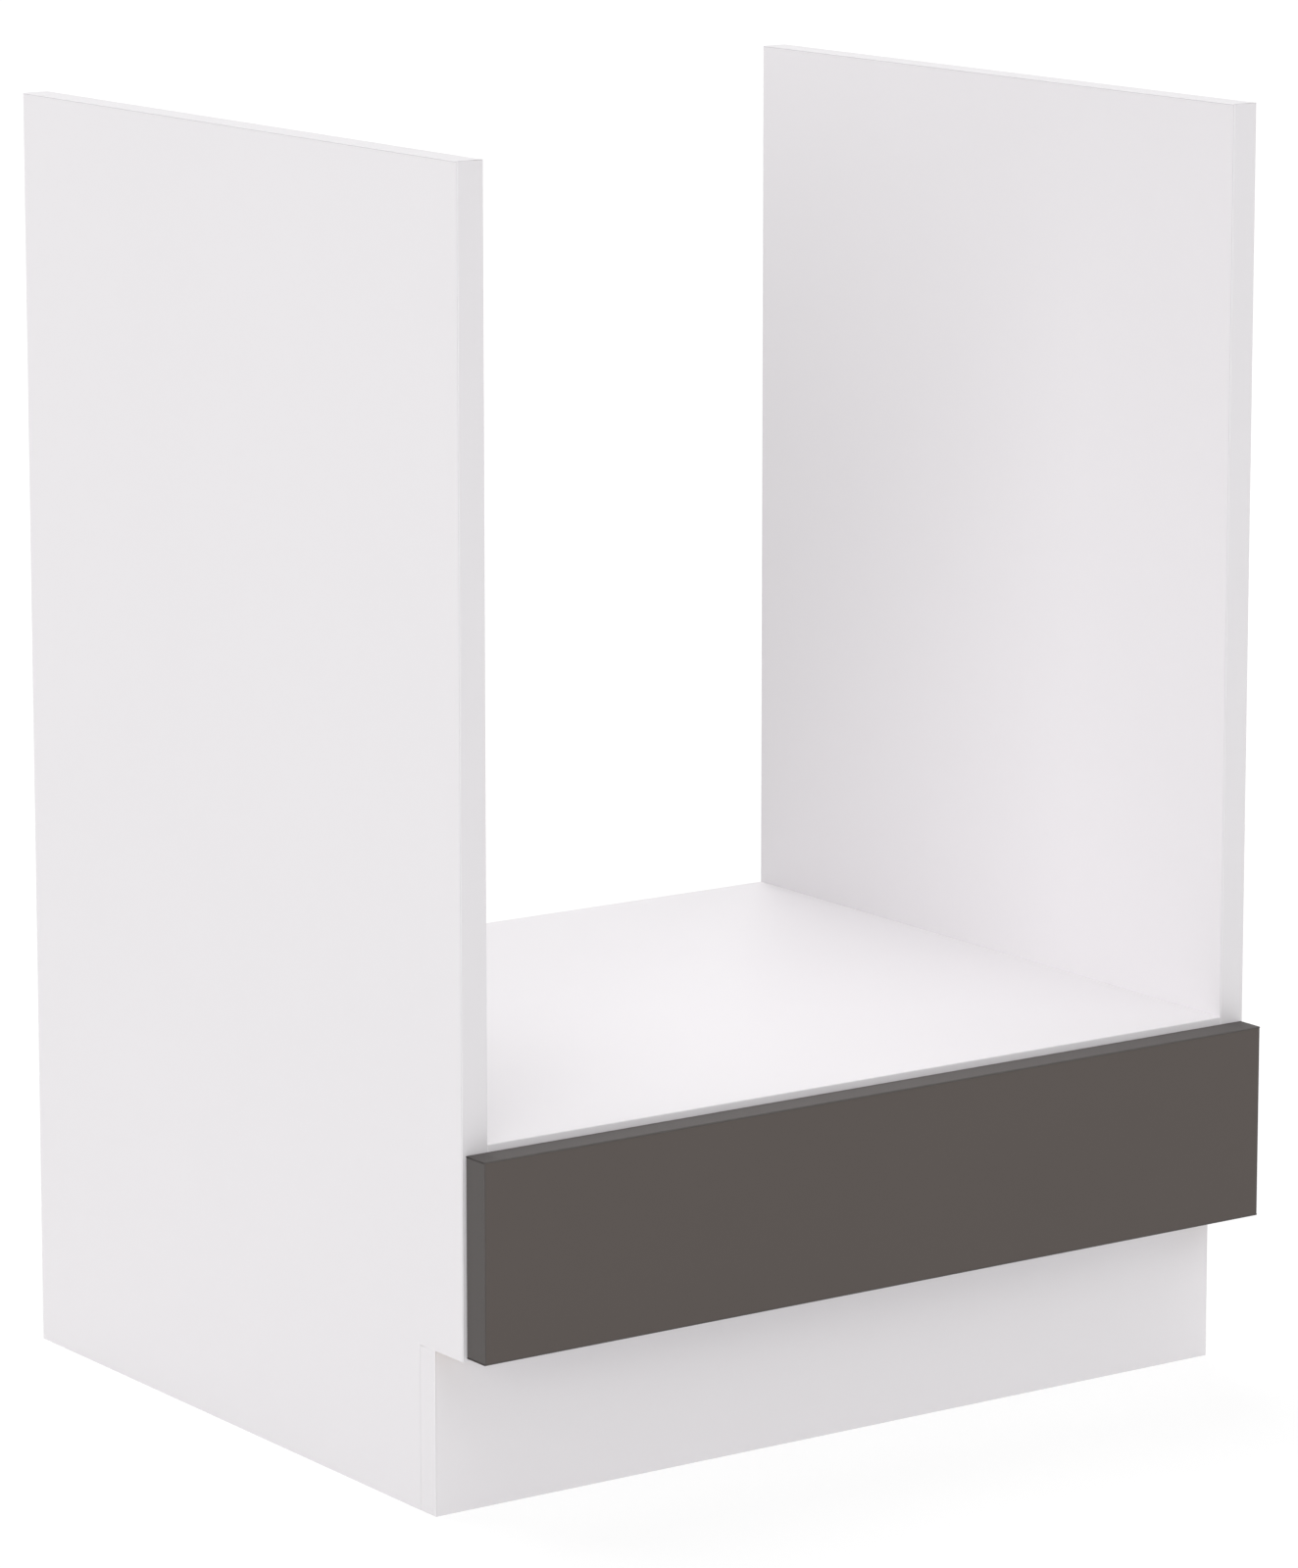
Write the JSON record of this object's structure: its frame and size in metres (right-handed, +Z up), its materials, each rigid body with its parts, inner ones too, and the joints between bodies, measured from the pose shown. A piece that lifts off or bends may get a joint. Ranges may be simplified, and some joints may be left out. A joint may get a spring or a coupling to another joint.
{
  "type": "kitchen base cabinet",
  "caption": "Kitchen base unit that houses a built-under oven: two side panels and a shelf, with a shallow drawer on ball runners below and a set-back plinth.",
  "frame": {"origin": "on the floor, at the centre of the overall box with the drawer closed", "axes": "+Z up, -Y out of the drawer front, +X to the right as seen from the front"},
  "size_m": [0.6, 0.52, 0.82],
  "materials": {
    "white_board": "satin melamine",
    "edging_strip": "satin",
    "thin_board": "painted hardboard",
    "dark_front": "matt melamine",
    "beech_dowel": "bare",
    "black_plastic": "matt",
    "clear_pad": "soft",
    "zinc_steel": "zinc plated"
  },
  "bodies": {
    "carcass": {"side_panel_left": "white_board", "side_panel_right": "white_board", "side_edging_left": "edging_strip", "side_edging_right": "edging_strip", "top_edging": "edging_strip", "oven_shelf": "white_board", "shelf_edging": "edging_strip", "bottom_board": "white_board", "bottom_edging": "edging_strip", "back_panel": "thin_board", "plinth_board": "white_board", "plinth_edging": "edging_strip", "plinth_brackets": "zinc_steel", "bracket_screws": "zinc_steel", "cam_locks": "zinc_steel", "cam_bolts": "zinc_steel", "carcass_dowels": "beech_dowel", "cabinet_runner_left": "zinc_steel", "cabinet_runner_right": "zinc_steel", "cabinet_runner_screws": "zinc_steel", "runner_stops": "black_plastic"},
    "middle_members": {"middle_runner_left": "zinc_steel", "middle_runner_right": "zinc_steel"},
    "outer_cages": {"outer_ball_cages": "zinc_steel", "outer_balls": "zinc_steel"},
    "inner_cages": {"inner_ball_cages": "zinc_steel", "inner_balls": "zinc_steel"},
    "drawer": {"drawer_runner_left": "zinc_steel", "drawer_runner_right": "zinc_steel", "drawer_runner_screws": "zinc_steel", "drawer_front": "dark_front", "front_end_edging": "dark_front", "front_long_edging": "dark_front", "front_bumpers": "clear_pad", "front_screws": "zinc_steel", "box_side_left": "white_board", "box_side_right": "white_board", "box_front": "white_board", "box_back": "white_board", "box_side_edging": "edging_strip", "box_end_edging": "edging_strip", "box_bottom": "thin_board", "box_screws": "zinc_steel"}
  },
  "joints": [
    {"name": "drawer_slide", "type": "slide", "parent": "carcass", "child": "drawer", "axis": [0, -1, 0], "range_m": [0, 0.45]},
    {"name": "middle_slide", "type": "slide", "parent": "carcass", "child": "middle_members", "axis": [0, -1, 0], "range_m": [0, 0.225]},
    {"name": "outer_cage_slide", "type": "slide", "parent": "carcass", "child": "outer_cages", "axis": [0, -1, 0], "range_m": [0, 0.1125]},
    {"name": "inner_cage_slide", "type": "slide", "parent": "carcass", "child": "inner_cages", "axis": [0, -1, 0], "range_m": [0, 0.3375]}
  ],
  "couplings": [
    {"joint": "middle_slide", "follows": "drawer_slide", "ratio": 0.5},
    {"joint": "outer_cage_slide", "follows": "drawer_slide", "ratio": 0.25},
    {"joint": "inner_cage_slide", "follows": "drawer_slide", "ratio": 0.75}
  ]
}
